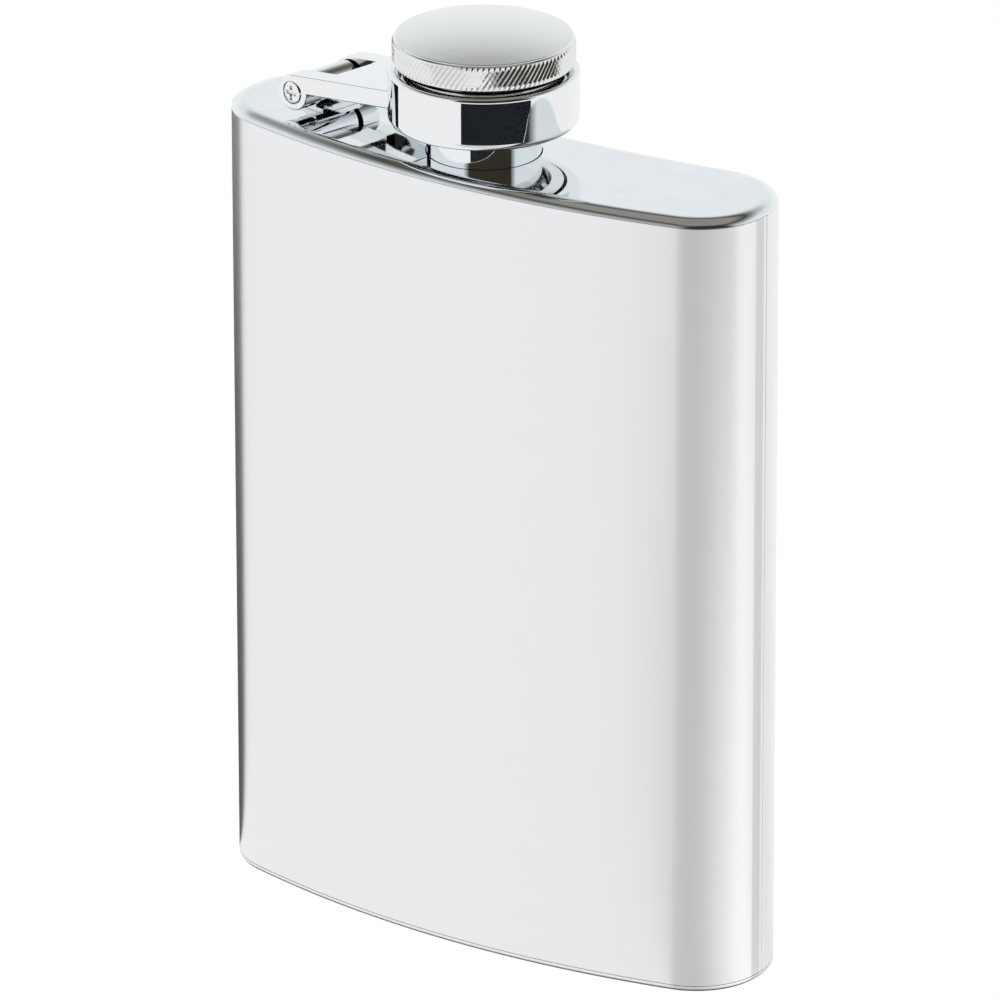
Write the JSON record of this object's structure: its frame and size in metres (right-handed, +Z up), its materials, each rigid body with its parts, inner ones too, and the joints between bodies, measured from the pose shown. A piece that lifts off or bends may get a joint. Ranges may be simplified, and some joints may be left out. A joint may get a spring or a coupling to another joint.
{
  "type": "hip flask",
  "caption": "Curved pocket hip flask in stainless steel with a knurled screw cap held captive in a ring on a hinged arm.",
  "frame": {"origin": "on the neck's axis, at the level of the flat underside", "axes": "+Z up along the neck; X along the width with the hinge at -X; the convex front faces -Y"},
  "size_m": [0.078, 0.0248, 0.119],
  "materials": {
    "brushed_steel": "horizontally brushed satin stainless steel",
    "polished_steel": "mirror polished stainless steel",
    "chromed_zinc": "bright chrome plating over die-cast zinc",
    "turned_steel": "turned, knurled and polished stainless steel",
    "spring_steel": "plain spring steel",
    "silicone": "soft white food-grade silicone"
  },
  "bodies": {
    "flask_body": {"front_shell": "brushed_steel", "back_shell": "brushed_steel", "top_plate": "polished_steel", "base_plate": "brushed_steel", "neck_tube": "polished_steel", "hinge_bracket": "chromed_zinc"},
    "arm": {"captive_arm": "chromed_zinc", "hinge_screw": "chromed_zinc"},
    "cap_carrier": {"retaining_clip": "spring_steel"},
    "cap": {"cap_sleeve": "turned_steel", "cap_head": "turned_steel", "cap_gasket": "silicone"}
  },
  "joints": [
    {"name": "arm_hinge", "type": "hinge", "parent": "flask_body", "child": "arm", "pos_m": [-0.0253, 0.00233, 0.1058], "axis": [-0.2079, -0.9781, 0], "range_deg": [0, 160]},
    {"name": "cap_lift", "type": "slide", "parent": "arm", "child": "cap_carrier", "axis": [0, 0, 1], "range_m": [0, 0.00361]},
    {"name": "cap_spin", "type": "hinge", "parent": "cap_carrier", "child": "cap", "pos_m": [0, 0, 0.11], "axis": [0, 0, 1], "range_deg": [0, 540]}
  ],
  "couplings": [
    {"joint": "cap_lift", "follows": "cap_spin", "m_per_rad": 0.00038197}
  ]
}
